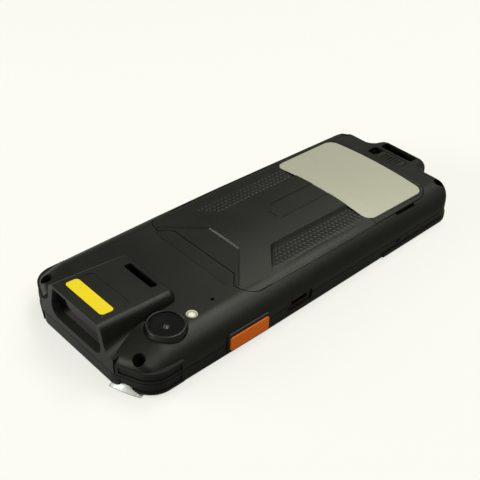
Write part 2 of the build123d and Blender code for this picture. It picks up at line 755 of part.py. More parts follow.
def corner_seat():
    """Seat of both corner pieces on one side."""
    z = (FRONT_BUMPER_Z[0] - FIT, REAR_BUMPER_Z[1] + FIT)
    return corner_band(z, BUMPER_SINK, 4.0, BUMPER_X - FIT, BUMPER_S + FIT)


CHIN_Z = (RIM_R * 0.6, CHIN_TOP)


def chin_band(z, inner, outer, slack=0.0):
    ring = outline(-outer) - outline(inner)
    region = block((CHIN_X - slack, SIDE + 5), (CHIN_S - slack, SHOULDER_S + 5), (-5, 40))
    return plate(ring, *z) & region


def chin_bumper():
    """Low guard strip round a strap-end corner."""
    return chin_band(CHIN_Z, BUMPER_SINK - FIT, BUMPER_PROUD)


def seal_ring(width, z, air=0.0):
    """Seal between the halves, round the inner cavity."""
    outer_half = CAVITY_HALF + 1.5 + air
    outer_s = grow(CAVITY_S, 1.5 + air)
    ring = pad((-outer_half, outer_half), outer_s, z, 3.0)
    inner = width + 2 * air
    ring -= pad((-outer_half + inner, outer_half - inner), grow(outer_s, -inner), z, 3.0 - inner)
    return ring - block((20, SIDE), (USB_S - 5.4, USB_S + 5.4), (0, 9))


def housing_seal():
    return seal_ring(0.8, (PARTING_Z - 0.55, PARTING_Z))


def screw_places():
    corners = (SCREW_FRONT, SCREW_REAR)
    return [(side * x, s) for x, s in corners for side in (-1, 1)]


def screw(x, s):
    """Countersunk corner screw with a six-lobed socket kept as a plain hexagon."""
    head_low = SCREW_HEAD_Z - SCREW_HEAD_T
    body = disc(x, s, (head_low, SCREW_HEAD_Z), SCREW_HEAD_R) + disc(x, s, (1.7, head_low), SCREW_SHANK_R)
    socket = Pos(x, s, SCREW_HEAD_Z - 0.8) * extrude(RegularPolygon(0.95, 6), 1)
    return body - socket


def corner_screws():
    return Compound([screw(x, s).solid() for x, s in screw_places()])


def screw_holes():
    holes = Part()
    for x, s in screw_places():
        holes += disc(x, s, (SCREW_HEAD_Z - SCREW_HEAD_T, 30), SCREW_HOLE_R)
        holes += disc(x, s, (1.6, 10), SCREW_SHANK_R + FIT)
    return holes


# ---------------------------------------------------------------- strap loop and latch
DECK_Z = back_z(sum(LATCH_S) / 2)
SLIDER_X = (LATCH_X[1] - CLEAR - LATCH_LENGTH, LATCH_X[1] - CLEAR)
TONGUE_Z = (DECK_Z - LATCH_T - TONGUE_T, DECK_Z - LATCH_T - 0.2)
TONGUE_X = (sum(SLIDER_X) / 2 - TONGUE_W / 2, sum(SLIDER_X) / 2 + TONGUE_W / 2)


def strap_slot():
    return pad((-STRAP_HALF, STRAP_HALF), STRAP_S, (-5, 30), STRAP_R)


def latch_slider():
    """Ribbed slider with a tongue that points at the cover's end."""
    plate_s = grow(LATCH_S, -CLEAR)
    slider = (pad(SLIDER_X, plate_s, (0, 30), 1.2) & under_back(0.05)) - under_back(LATCH_T)
    for step in range(6):
        x = sum(SLIDER_X) / 2 + (step - 2.5) * 1.5
        slider -= block((x - 0.35, x + 0.35), grow(plate_s, -0.9), (DECK_Z - 0.4, 30))
    slider += block(TONGUE_X, (COVER_END_S + CLEAR, LATCH_S[0] + 3.4), TONGUE_Z)
    return slider + block(TONGUE_X, (LATCH_S[0] + 0.6, LATCH_S[0] + 3.4), (TONGUE_Z[0], DECK_Z - LATCH_T + 0.3))


def latch_room():
    """Well of the slider and the slot that its tongue slides in."""
    well = pad(LATCH_X, LATCH_S, (DECK_Z - LATCH_WELL, 30), 1.5)
    slot_x = (TONGUE_X[0] - LATCH_TRAVEL - CLEAR, TONGUE_X[1] + CLEAR)
    return well + block(slot_x, (COVER_END_S, LATCH_S[0] + 1), grow(TONGUE_Z, CLEAR))


def latch_spring():
    """Detent strip on the floor of the well, with a bump at each end of the travel."""
    z0 = DECK_Z - LATCH_WELL
    strip = block(grow(LATCH_X, -1.2), (LATCH_S[1] - 1.7, LATCH_S[1] - 0.4), (z0, z0 + 0.25))
    for x in (SLIDER_X[0] - 1.0, SLIDER_X[0] + LATCH_TRAVEL):
        bump = Pos(x, LATCH_S[1] - 1.05, z0 + 0.1) * Rot(90, 0, 0) * Cylinder(0.7, 1.3)
        strip += bump & block((x - 1, x + 1), LATCH_S, (z0, z0 + 1))
    return strip


# ---------------------------------------------------------------- camera, flash, loudspeaker
RING_FOOT_Z = BODY_T - 2.1


def camera_ring():
    """Turned ring that stands on the back and holds the camera's glass."""
    low, top = RING_FOOT_Z, BODY_T + RING_H
    seat = top - 1.0
    section = [
        (5.2, low, 0), (RING_BASE_R, low, 0), (RING_BASE_R, BODY_T, 0), (RING_TOP_R, top, 0.35),
        (CAMERA_GLASS_R + 0.1, top, 0.2), (CAMERA_GLASS_R + FIT, seat, 0), (5.2, seat, 0),
    ]
    return Pos(CAMERA_X, CAMERA_S, 0) * revolve(Plane.XZ * rounded(section), Axis.Z)


def camera_glass():
    seat = BODY_T + RING_H - 1.0
    return disc(CAMERA_X, CAMERA_S, (seat, seat + 0.6), CAMERA_GLASS_R)


def camera_module():
    """Sensor block with a stepped lens barrel."""
    block_z = (7.0, 12.2)
    body = pad((CAMERA_X - 4.3, CAMERA_X + 4.3), (CAMERA_S - 4.3, CAMERA_S + 4.3), block_z, 0.6)
    step_z = BODY_T - 0.3
    body += disc(CAMERA_X, CAMERA_S, (block_z[1], step_z), 3.9)
    body += disc(CAMERA_X, CAMERA_S, (step_z, BODY_T + RING_H - 1.05), 3.0)
    return body - disc(CAMERA_X, CAMERA_S, (step_z + 0.4, 20), 2.2)


def camera_room():
    room = disc(CAMERA_X, CAMERA_S, (RING_FOOT_Z, 30), RING_BASE_R + FIT)
    room += disc(CAMERA_X, CAMERA_S, (12.0, 30), 4.0)
    half = 4.3 + FIT
    return room + pad((CAMERA_X - half, CAMERA_X + half), (CAMERA_S - half, CAMERA_S + half), (0, 12.2), 0.6)


FLASH_Z = BODY_T - 1.2


def flash_lens():
    lens = disc(FLASH_X, FLASH_S, (FLASH_Z, BODY_T + 0.1), FLASH_R)
    return fillet(lens.edges().group_by(Axis.Z)[-1], 0.25)


def flash_led():
    return block((FLASH_X - 1.2, FLASH_X + 1.2), (FLASH_S - 1.2, FLASH_S + 1.2), (FLASH_Z - 0.9, FLASH_Z))


def small_holes():
    """Flash, microphone, sound slot and side microphone openings."""
    holes = disc(FLASH_X, FLASH_S, (FLASH_Z, 30), FLASH_R + FIT)
    holes += block((FLASH_X - 1.25, FLASH_X + 1.25), (FLASH_S - 1.25, FLASH_S + 1.25), (FLASH_Z - 0.9, FLASH_Z))
    holes += disc(MIC_X, MIC_S, (BODY_T - 3, 30), MIC_R)
    slot_s = (SLOT_S - SLOT_W / 2, SLOT_S + SLOT_W / 2)
    holes += pad((-SLOT_HALF, SLOT_HALF), slot_s, (BODY_T - 0.3, 30), 1.0)
    return holes + pad((-SLOT_HALF + 1, SLOT_HALF - 1), grow(slot_s, -0.6), (SPEAKER_Z[1], 16), 0.6)


SPEAKER_X, SPEAKER_S, SPEAKER_Z = (-9.0, 9.0), (22.6, 31.4), (9.0, 12.6)


def loudspeaker():
    body = block(SPEAKER_X, SPEAKER_S, SPEAKER_Z)
    return body - block(grow(SPEAKER_X, -1.5), grow(SPEAKER_S, -1.5), (SPEAKER_Z[1] - 0.5, 20))


MOTOR_X, MOTOR_S, MOTOR_Z, MOTOR_R = (-24.0, -15.0), 44.0, 8.3, 2.2


def vibration_motor():
    middle = sum(MOTOR_X) / 2
    return Pos(middle, MOTOR_S, MOTOR_Z) * Rot(0, 90, 0) * Cylinder(MOTOR_R, MOTOR_X[1] - MOTOR_X[0])


def inner_rooms():
    """Rooms in the rear half for the window, engine, loudspeaker and motor."""
    rooms = block(grow(ENGINE_X, FIT), (WINDOW_DEPTH, ENGINE_S[1] + FIT), (0, ENGINE_Z[1]))
    half = WINDOW_MID[0] - WINDOW_DRAW + 0.7 + FIT
    rooms += block((-half, half), (WINDOW_DEPTH, WINDOW_DEPTH + WINDOW_T + 0.1), (0, 13.0))
    rooms += scan_window(FIT)
    rooms += block(SPEAKER_X, SPEAKER_S, (0, SPEAKER_Z[1]))
    side = MOTOR_R + FIT
    return rooms + block(grow(MOTOR_X, FIT), (MOTOR_S - side, MOTOR_S + side), (0, MOTOR_Z + side))


# ---------------------------------------------------------------- the two housing halves
def shared_cuts():
    """Openings that pass through or into both halves."""
    cuts = strap_slot() + screw_holes() + usb_room()
    for room in (trigger_room(), corner_seat()):
        cuts += room
        cuts += mirror_x(room)
    return cuts


def cover_room():
    """Pocket for the cover, its hooks and its gasket, with the battery bay below."""
    depth = COVER_T + SEAL_T + 0.1
    room = plate(cover_outline(CLEAR), 0, 2 * BODY_T) & over_back(depth)
    bay = pad((-BAY_HALF, BAY_HALF), BAY_S, (BAY_FLOOR_Z, 2 * BODY_T), 1.5)
    return room + bay + hook_block(CLEAR)


def rear_housing():
    """Back half with the hump, the battery bay and the latch well."""
    body = envelope() + hump() - sticker_panel()
    body -= block((-SIDE - 5, SIDE + 5), (-5, LENGTH + 5), (-5, PARTING_Z))
    body -= shared_cuts()
    body -= cover_room()
    body -= front_dish()
    body -= window_recess()
    body -= inner_rooms()
    body -= camera_room()
    body -= small_holes()
    body -= latch_room()
    body -= block(CARD_X, CARD_S, (CARD_Z[0], BAY_FLOOR_Z + 1))
    notch = block(NOTCH_X, NOTCH_S, (NOTCH_Z, 30))
    return body - notch - mirror_x(notch)


def front_housing():
    """Screen half: bezel, glass seat, inner cavity and key wells."""
    body = plate(outline(), FACE_Z, PARTING_Z - SHADOW_GAP) + plate(outline(SHADOW_GAP), FACE_Z, PARTING_Z)
    rim = [e for e in body.edges().group_by(Axis.Z)[0]]
    body = fillet(rim, RIM_R)
    body -= pad(
        (-GLASS_W / 2 - FIT, GLASS_W / 2 + FIT), grow((GLASS_S, GLASS_S + GLASS_L), FIT), (-1, PANEL_Z), GLASS_R,
    )
    panel_s = (GLASS_MID - PANEL_L / 2, GLASS_MID + PANEL_L / 2)
    body -= pad((-PANEL_W / 2 - 0.2, PANEL_W / 2 + 0.2), panel_s, (0, 10), 1.0)
    body -= pad((-CAVITY_HALF, CAVITY_HALF), (CAVITY_S[0], FRAME_END_S + 0.3), (FRAME_Z, 10), 2.0)
    body -= pad((-CAVITY_HALF, CAVITY_HALF), (FRAME_END_S - 2, CAVITY_S[1]), (FRONT_KEY_FLOOR, 10), 2.0)
    body -= shared_cuts() + front_key_holes()
    for s in (POWER_S, VOLUME_S):
        body -= mirror_x(wall_key_room(s))
    chin = chin_band(grow(CHIN_Z, FIT), BUMPER_SINK, 4.0, FIT)
    body -= chin
    body -= mirror_x(chin)
    body -= seal_ring(0.8, (PARTING_Z - 0.55, PARTING_Z + 1), FIT)
    pry_s, pry_z = PRY_SIZE
    pry = side_pad((side_at(PRY_S) - 0.7, SIDE + 5), (PRY_S - pry_s / 2, PRY_S + pry_s / 2),
                   (PRY_Z - pry_z / 2, PRY_Z + pry_z / 2), 0.4)
    body -= pry
    body -= mirror_x(pry)
    return body


# ---------------------------------------------------------------- shipping film
def protective_film():
    """Film over the whole screen side."""
    (x0, s0), (x1, s1) = FILM_EDGE
    half = [(x0, s0, 0.5), (x1, s1, 2.0), (FILM_HALF, s1 + 8, 4.0), (FILM_HALF - TAPER_IN, FILM_END_S, 6.0)]
    return plate(rounded(mirrored(half)), 0, FILM_T)


def film_tab():
    """Pull tab at the slanted edge of the film, curling up past the housing."""
    (x0, s0), (x1, s1) = FILM_EDGE
    along = Vector(x1 - x0, s1 - s0, 0).normalized()
    outward = Vector(along.Y, -along.X, 0)
    middle = Vector((x0 + x1) / 2, (s0 + s1) / 2, 0)
    plane = Plane(origin=middle + along * (TAB_W / 2), x_dir=outward, z_dir=-along)
    arc_in = CenterArc((TAB_FLAT, TAB_R), TAB_R, -90, TAB_TURN)
    arc_out = CenterArc((TAB_FLAT, TAB_R), TAB_R - FILM_T, -90, TAB_TURN)
    lines = Line((0, 0), arc_in @ 0) + Line(arc_in @ 1, arc_out @ 1) + Line(arc_out @ 0, (0, FILM_T))
    section = make_face((lines + arc_in + arc_out + Line((0, FILM_T), (0, 0))).edges())
    return extrude(plane * section, TAB_W)


# ---------------------------------------------------------------- nodes
def nodes():
    """Every piece by its node name."""
    return {
        "rear_housing": rear_housing(),
        "front_housing": front_housing(),
        "rear_bumper_right": rear_bumper(),
        "rear_bumper_left": mirror_x(rear_bumper()),
        "front_bumper_right": corner_bumper(FRONT_BUMPER_Z),
        "front_bumper_left": mirror_x(corner_bumper(FRONT_BUMPER_Z)),
        "chin_bumper_right": chin_bumper(),
        "chin_bumper_left": mirror_x(chin_bumper()),
        "scan_window": scan_window(),
        "scan_engine": scan_engine(),
        "battery_cover": battery_cover(),
        "cover_label": cover_label(),
        "cover_seal": cover_seal(),
        "battery": battery(),
        "battery_contacts": battery_contacts(),
        "card_holder": card_holder(),
        "display_glass": display_glass(),
        "earpiece_mesh": earpiece_mesh(),
        "display_panel": display_panel(),
        "mid_frame": mid_frame(),
        "main_board": main_board(),
        "board_shields": board_shields(),
        "trigger_right": trigger(),
        "trigger_left": mirror_x(trigger()),
        "trigger_bezel_right": trigger_bezel(),
        "trigger_bezel_left": mirror_x(trigger_bezel()),
        "power_key": mirror_x(wall_key(POWER_S)),
        "volume_rocker": mirror_x(wall_key(VOLUME_S, ROCKER_PLAY, ROCKER_FLANGE_T)),
        "side_key_switches": side_key_switches(),
        "back_key": front_key(FRONT_KEY_X[0]),
        "home_key": front_key(FRONT_KEY_X[1]),
        "menu_key": front_key(FRONT_KEY_X[2]),
        "front_key_switches": front_key_switches(),
        "usb_shell": usb_shell(),
        "usb_tongue": usb_tongue(),
        "housing_seal": housing_seal(),
        "corner_screws": corner_screws(),
        "latch_slider": latch_slider(),
        "latch_spring": latch_spring(),
        "camera_ring": camera_ring(),
        "camera_glass": camera_glass(),
        "camera_module": camera_module(),
        "flash_lens": flash_lens(),
        "flash_led": flash_led(),
        "loudspeaker": loudspeaker(),
        "vibration_motor": vibration_motor(),
        "laser_label": laser_label(),
        "protective_film": protective_film(),
        "film_tab": film_tab(),
    }


def main():
    os.makedirs("parts", exist_ok=True)
    pieces = nodes()
    boxes = [piece.bounding_box() for piece in pieces.values()]
    middle = (min(box.min.Y for box in boxes) + max(box.max.Y for box in boxes)) / 2
    for name, piece in pieces.items():
        export_step(Pos(0, -middle, 0) * piece, f"parts/{name}.step")


if __name__ == "__main__":
    main()
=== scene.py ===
# %% [markdown]
# # A rugged barcode terminal, lying on its screen
# The terminal is a hand-sized computer with a scanner at one end. Its shell, keys, seals and screws
# come from a CAD model, which is loaded here as a fixed frame: nothing in it is moved or reshaped. What
# Blender adds is what a CAD model leaves out: the moulded grip, the painted shade round the inset plate, the
# parts behind the camera's glass, the arched tab of the shipping film and every surface finish.

# %% Load the frame
import json
import math

import bpy
from mathutils import Matrix, Vector
from mathutils.bvhtree import BVHTree


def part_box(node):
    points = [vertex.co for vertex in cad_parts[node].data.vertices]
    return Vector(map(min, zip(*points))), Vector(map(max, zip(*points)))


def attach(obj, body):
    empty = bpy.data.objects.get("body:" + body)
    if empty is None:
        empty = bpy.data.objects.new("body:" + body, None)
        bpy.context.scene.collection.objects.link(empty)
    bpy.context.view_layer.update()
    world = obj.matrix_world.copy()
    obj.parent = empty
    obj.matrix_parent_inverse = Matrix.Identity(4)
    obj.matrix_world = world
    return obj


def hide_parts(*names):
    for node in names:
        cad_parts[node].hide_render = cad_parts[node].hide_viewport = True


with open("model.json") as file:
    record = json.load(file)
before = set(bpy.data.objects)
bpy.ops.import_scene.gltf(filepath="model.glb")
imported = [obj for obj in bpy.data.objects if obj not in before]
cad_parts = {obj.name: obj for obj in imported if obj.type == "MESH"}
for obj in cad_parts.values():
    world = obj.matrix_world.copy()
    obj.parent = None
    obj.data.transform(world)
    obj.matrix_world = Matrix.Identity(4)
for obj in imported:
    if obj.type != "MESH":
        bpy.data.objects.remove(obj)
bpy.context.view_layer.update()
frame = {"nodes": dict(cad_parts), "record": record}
MM = 0.001
nodes = frame["nodes"]

# %% [markdown]
# ## The camera
# A product picture of something this small is taken from about a third of a metre. The camera stands off
# the corner with the camera lens, looks down at 37 degrees and leans by two. It is built from three
# axes, because that keeps the lean exact, where a tracking constraint would level it.

# %% The camera's axes
AZIMUTH, ELEVATION, LEAN = map(math.radians, (46.433, 36.774, 1.804))

back = Vector((
    math.sin(AZIMUTH) * math.cos(ELEVATION),
    -math.cos(AZIMUTH) * math.cos(ELEVATION),
    math.sin(ELEVATION),
))
level = (-back).cross(Vector((0, 0, 1))).normalized()
upright = level.cross(-back)
right = math.cos(LEAN) * level + math.sin(LEAN) * upright
up = math.cos(LEAN) * upright - math.sin(LEAN) * level
turn = Matrix((right, up, back)).transposed()
print("looks along", [round(part, 3) for part in -back])

# %% Place the camera
PICTURE = 480                   # pixels along each side of the picture
FOCAL_PIXELS = 904.0
SENSOR_MM = 36.0
NEAR, FAR = 0.01, 20.0
DISTANCE = 352.87 * MM
AIM = Vector((-4.218, -7.487, 8.0)) * MM

product_lens = bpy.data.cameras.new("product_camera")
product_lens.sensor_width = SENSOR_MM
product_lens.lens = FOCAL_PIXELS / PICTURE * SENSOR_MM
product_lens.clip_start, product_lens.clip_end = NEAR, FAR
camera = bpy.data.objects.new("product_camera", product_lens)
bpy.context.scene.collection.objects.link(camera)
camera.matrix_world = Matrix.Translation(AIM + back * DISTANCE) @ turn.to_4x4()
bpy.context.scene.camera = camera
print("focal length", round(product_lens.lens, 1), "mm")

# %% [markdown]
# ## The light tent
# Black plastic shows its form by what it reflects, so the lamps are large and soft, as in a tent of white
# cloth. One stands low in front of the scanner end, on the left. One hangs overhead. The broadest hangs
# on the right, where the rolled edge mirrors it but the flat back does not, so the back stays dark and its
# edges are drawn in light. The floor is pale paper that keeps the soft shadow. In the reflections it is
# painted darker than it looks, as shade, apart from a painted pool of light in front of the low lamp.

# %% Helpers for nodes and colours
def rgb(code):
    """Linear colour from an sRGB hex code."""
    parts = [int(code[i:i + 2], 16) / 255 for i in (1, 3, 5)]
    return [p / 12.92 if p <= 0.04045 else ((p + 0.055) / 1.055) ** 2.4 for p in parts] + [1.0]


def add(tree, kind, inputs=None, **settings):
    """Adds one node. An input takes a value or another node's output."""
    node = tree.nodes.new(kind)
    for name, value in settings.items():
        setattr(node, name, value)
    for name, value in (inputs or {}).items():
        if isinstance(value, bpy.types.NodeSocket):
            tree.links.new(value, node.inputs[name])
        else:
            node.inputs[name].default_value = value
    return node


def blank_material(name):
    """Empty material and its node tree."""
    material = bpy.data.materials.new(name)
    material.use_nodes = True
    material.node_tree.nodes.clear()
    return material, material.node_tree


# %% Paper for the floor
PAPER = rgb("#F6F6F1")
FLOOR_LIFT = 0.75               # share of the paper's brightness that the camera sees without shadow
# painted shade and light, seen only in reflections: away from the low lamp the paper is painted darker, in
# front of it a pool of light is painted brighter
MIRRORED_SHADED_LIFT = 0.04            # the same share in reflections, away from the low lamp
PAINTED_POOL_LIFT = 0.5                  # and in front of that lamp
PAINTED_POOL_WAY = (-0.55, -0.83, 0)     # from the object towards that lamp
PAINTED_POOL_START = (0.03, 0.10)        # metres along that way between which the lit part begins

paper, tree = blank_material("matte_paper")
diffuse = add(tree, "ShaderNodeBsdfDiffuse", {"Color": rgb("#82827E")})
ray = add(tree, "ShaderNodeLightPath")
place = add(tree, "ShaderNodeTexCoord").outputs["Object"]
towards = add(tree, "ShaderNodeVectorMath", {0: place, 1: PAINTED_POOL_WAY}, operation="DOT_PRODUCT")
# painted pool of light: the paper glows brighter in reflections towards the low lamp
painted_pool = add(tree, "ShaderNodeMapRange",
          {0: towards.outputs["Value"], 1: PAINTED_POOL_START[0], 2: PAINTED_POOL_START[1], 3: MIRRORED_SHADED_LIFT, 4: PAINTED_POOL_LIFT})
direct = add(tree, "ShaderNodeMath",
             {0: ray.outputs["Is Camera Ray"], 1: FLOOR_LIFT}, operation="MULTIPLY")
glossy = add(tree, "ShaderNodeMath",
             {0: ray.outputs["Is Glossy Ray"], 1: painted_pool.outputs[0]}, operation="MULTIPLY")
clear = add(tree, "ShaderNodeMath",
            {0: ray.outputs["Is Transmission Ray"], 1: FLOOR_LIFT}, operation="MULTIPLY")
indirect = add(tree, "ShaderNodeMath", {0: glossy.outputs[0], 1: clear.outputs[0]}, operation="MAXIMUM")
glow = add(tree, "ShaderNodeMath", {0: direct.outputs[0], 1: indirect.outputs[0]}, operation="MAXIMUM")
lift = add(tree, "ShaderNodeEmission", {"Color": PAPER, "Strength": glow.outputs[0]})
both = add(tree, "ShaderNodeAddShader", {0: diffuse.outputs[0], 1: lift.outputs[0]})
add(tree, "ShaderNodeOutputMaterial", {"Surface": both.outputs[0]})
print(paper.name, "has", len(tree.nodes), "nodes")

# %% Lay the floor
SWEEP = 3.0                     # metres from the middle to each edge

floor_mesh = bpy.data.meshes.new("paper_floor")
corners = [(-SWEEP, -SWEEP, 0), (SWEEP, -SWEEP, 0), (SWEEP, SWEEP, 0), (-SWEEP, SWEEP, 0)]
floor_mesh.from_pydata(corners, [], [(0, 1, 2, 3)])
floor_mesh.materials.append(paper)
floor = bpy.data.objects.new("paper_floor", floor_mesh)
bpy.context.scene.collection.objects.link(floor)
print("the floor is", 2 * SWEEP, "m wide")

# %% The tent's walls
TENT = 0.14                     # light of the walls themselves
SHEEN_LIFT = 0.20               # the same for rays that the object mirrors

world = bpy.data.worlds.new("light_tent")
bpy.context.scene.world = world
world.use_nodes = True
world.node_tree.nodes.clear()
tree = world.node_tree
ray = add(tree, "ShaderNodeLightPath")
mirrored = add(tree, "ShaderNodeMath",
               {0: ray.outputs["Is Glossy Ray"], 1: SHEEN_LIFT}, operation="MULTIPLY")
strength = add(tree, "ShaderNodeMath", {0: mirrored.outputs[0], 1: TENT}, operation="MAXIMUM")
cloth = add(tree, "ShaderNodeBackground", {"Color": rgb("#F4F4EE"), "Strength": strength.outputs[0]})
white = add(tree, "ShaderNodeBackground", {"Color": PAPER, "Strength": 1.0})
choice = add(tree, "ShaderNodeMixShader",
             {0: ray.outputs["Is Camera Ray"], 1: cloth.outputs[0], 2: white.outputs[0]})
add(tree, "ShaderNodeOutputWorld", {"Surface": choice.outputs[0]})
print(world.name, "gives", TENT, "and", SHEEN_LIFT, "in reflections")

# %% The lamps
WARM = (1.0, 0.985, 0.90)


def softbox(name, towards, distance, size, watts):
    """Rectangular lamp that faces the object from a direction."""
    lamp = bpy.data.lights.new(name, "AREA")
    lamp.shape = "RECTANGLE"
    lamp.size, lamp.size_y = size
    lamp.energy = watts
    lamp.color = WARM
    holder = bpy.data.objects.new(name, lamp)
    holder.location = Vector(towards).normalized() * distance
    holder.rotation_mode = "QUATERNION"
    holder.rotation_quaternion = holder.location.to_track_quat("Z", "Y")
    bpy.context.scene.collection.objects.link(holder)
    print(name, watts, "W")


softbox("scanner_end_softbox", (-0.6, -0.95, 0.30), 0.9, (0.7, 0.4), 10.0)
softbox("overhead_softbox", (-0.12, 0.45, 0.88), 1.0, (0.45, 0.45), 5.2)
softbox("right_softbox", (0.45, 0.16, 0.88), 1.0, (0.8, 0.5), 5.5)

# %% [markdown]
# ## Moulded plastic
# The shell is ABS blended with polycarbonate. Its steel mould is spark-eroded, which leaves a grain of
# tiny pits that the plastic copies. From a third of a metre the pits aren't seen one by one: they spread
# the light, so the black looks dark grey. A picture of such a surface could be wrapped round the shell,
# but noise with the grain's real size works from every side and needs no unwrapping. Two more things
# make a used black case believable: single specks of dust on top, and painted shade that darkens the seams.

# %% Specks of dust
DUST_CELL_MM = 5.5              # at most one speck lies in each cell of this size
SPECK_SHARE = 0.022             # a speck's radius, as a share of its cell
EMPTY_SHARE = 0.72              # share of the cells that hold no speck
DUST_SLOPE = (0.6, 0.95)        # upward parts of the surface's direction between which dust comes to lie


def dusted(tree, place, colour, amount):
    """Colour with single pale specks on faces that look up."""
    cells = add(tree, "ShaderNodeTexVoronoi",
                {"Vector": place, "Scale": 1 / (DUST_CELL_MM * MM), "Randomness": 1.0})
    speck = add(tree, "ShaderNodeMath",
                {0: cells.outputs["Distance"], 1: SPECK_SHARE}, operation="LESS_THAN")
    draw = add(tree, "ShaderNodeSeparateColor", {0: cells.outputs["Color"]})
    kept = add(tree, "ShaderNodeMath", {0: draw.outputs[0], 1: EMPTY_SHARE}, operation="GREATER_THAN")
    there = add(tree, "ShaderNodeMath", {0: speck.outputs[0], 1: kept.outputs[0]}, operation="MULTIPLY")
    surface = add(tree, "ShaderNodeNewGeometry")
    facing = add(tree, "ShaderNodeSeparateXYZ", {0: surface.outputs["Normal"]})
    upward = add(tree, "ShaderNodeMapRange",
                 {0: facing.outputs[2], 1: DUST_SLOPE[0], 2: DUST_SLOPE[1], 4: amount})
    share = add(tree, "ShaderNodeMath", {0: there.outputs[0], 1: upward.outputs[0]}, operation="MULTIPLY")
    mixed = add(tree, "ShaderNodeMix",
                {0: share.outputs[0], 6: colour, 7: rgb("#A8A59C")}, data_type="RGBA")
    return mixed.outputs[2]


# %% Painted shade in the seams
SEAM_MM = 1.0                   # how far the shade looks for a wall that blocks the light
SHUT, OPEN = 0.12, 0.6          # open shares between which the shade fades


def painted_seam_shade(tree):
    """Painted shade: white in the open, dark grey deep in a seam."""
    around = add(tree, "ShaderNodeAmbientOcclusion", {"Distance": SEAM_MM * MM}, samples=6)
    share = add(tree, "ShaderNodeMapRange", {0: around.outputs["AO"], 1: SHUT, 2: OPEN})
    shade = add(tree, "ShaderNodeMix",
                {0: share.outputs[0], 6: rgb("#303030"), 7: rgb("#FFFFFF")}, data_type="RGBA")
    return shade.outputs[2]


# %% Plastic with a spark-eroded grain
GRAIN_MM = 0.35                 # a real grain is about 0.15 mm; drawn coarser so that it shows
FLOW_MM = 28                    # slow changes of tone, where the melt cooled at different speeds


def moulded(name, colours, roughness, grain_depth, specular=0.5, grain_mm=GRAIN_MM, dust=0.0):
    """Plastic with two tones, an even grain, painted shade in the seams and a little dust."""
    material, tree = blank_material(name)
    place = add(tree, "ShaderNodeTexCoord").outputs["Object"]
    grain = add(tree, "ShaderNodeTexNoise",
                {"Vector": place, "Scale": 1 / (grain_mm * MM), "Detail": 4.0, "Roughness": 0.65})
    flow = add(tree, "ShaderNodeTexNoise",
               {"Vector": place, "Scale": 1 / (FLOW_MM * MM), "Detail": 2.0, "Roughness": 0.5})
    mottle = add(tree, "ShaderNodeMath", {0: grain.outputs[0], 1: flow.outputs[0]}, operation="MULTIPLY")
    spread = add(tree, "ShaderNodeMapRange", {0: mottle.outputs[0], 1: 0.12, 2: 0.40})
    tone = add(tree, "ShaderNodeMix",
               {0: spread.outputs[0], 6: rgb(colours[0]), 7: rgb(colours[1])}, data_type="RGBA")
    colour = dusted(tree, place, tone.outputs[2], dust) if dust else tone.outputs[2]
    # painted shade: the seam's dark grey multiplies both the colour and the shine
    seam = painted_seam_shade(tree)
    shaded = add(tree, "ShaderNodeMix",
                 {0: 1.0, 6: colour, 7: seam}, data_type="RGBA", blend_type="MULTIPLY")
    rough = add(tree, "ShaderNodeMapRange",
                {0: flow.outputs[0], 1: 0.3, 2: 0.7, 3: roughness - 0.04, 4: roughness + 0.05})
    bump = add(tree, "ShaderNodeBump",
               {"Height": grain.outputs[0], "Distance": grain_depth * MM, "Strength": 1.0})
    shader = add(tree, "ShaderNodeBsdfPrincipled",
                 {"Base Color": shaded.outputs[2], "Roughness": rough.outputs[0],
                  "Normal": bump.outputs[0], "Specular IOR Level": specular,
                  "Specular Tint": seam, "IOR": 1.5})
    add(tree, "ShaderNodeOutputMaterial", {"Surface": shader.outputs[0]})
    return material


# %% The plastics, the rubber and the anodised ring
finishes = {
    # pits scatter the light: a warm dark grey with no clear reflection
    "rear_shell": moulded("spark_eroded_abs", ("#0E100A", "#151710"), 0.42, 0.03,
                          specular=0.26, dust=0.7),
    # the screen half is the same plastic, a little finer
    "matte_black": moulded("fine_grained_abs", ("#0E0F0B", "#14150F"), 0.42, 0.025, specular=0.22),
    # overmoulded elastomer swallows more light and has a soft sheen
    "soft_black": moulded("overmoulded_elastomer", ("#0D0D0B", "#12120F"), 0.5, 0.02, specular=0.24),
    # colour runs through the orange cap, whose mould was only lightly textured
    "orange_key": moulded("through_coloured_abs", ("#F06C00", "#FB7A04"), 0.42, 0.02, specular=0.3),
    # keys and the latch come from a smoother mould, so fingers leave a little shine
    "key_black": moulded("satin_moulded_abs", ("#11110E", "#171713"), 0.44, 0.02, specular=0.28),
    # glass fibres near the skin make the inner parts dull and coarse
    "dark_moulding": moulded("glass_filled_nylon", ("#131312", "#1C1C1A"), 0.6, 0.04, grain_mm=0.6),
    # the dyed oxide on aluminium is a hard, clear layer: smoother and shinier than plastic
    "ring_black": moulded("black_anodised_aluminium", ("#0B0B09", "#10100D"), 0.34, 0.008,
                          specular=0.4, grain_mm=0.2),
}
print(len(finishes), "moulded finishes")

# %% [markdown]
# ## Metals
# The small metal pieces are hidden or seen at the bottom of a recess, so one kind of shader serves them
# all: a noise is stretched along the way in which the sheet was rolled, or left even for a casting.

# %% Metal with a grain
METAL_DEPTH = 0.004             # depth of the grain


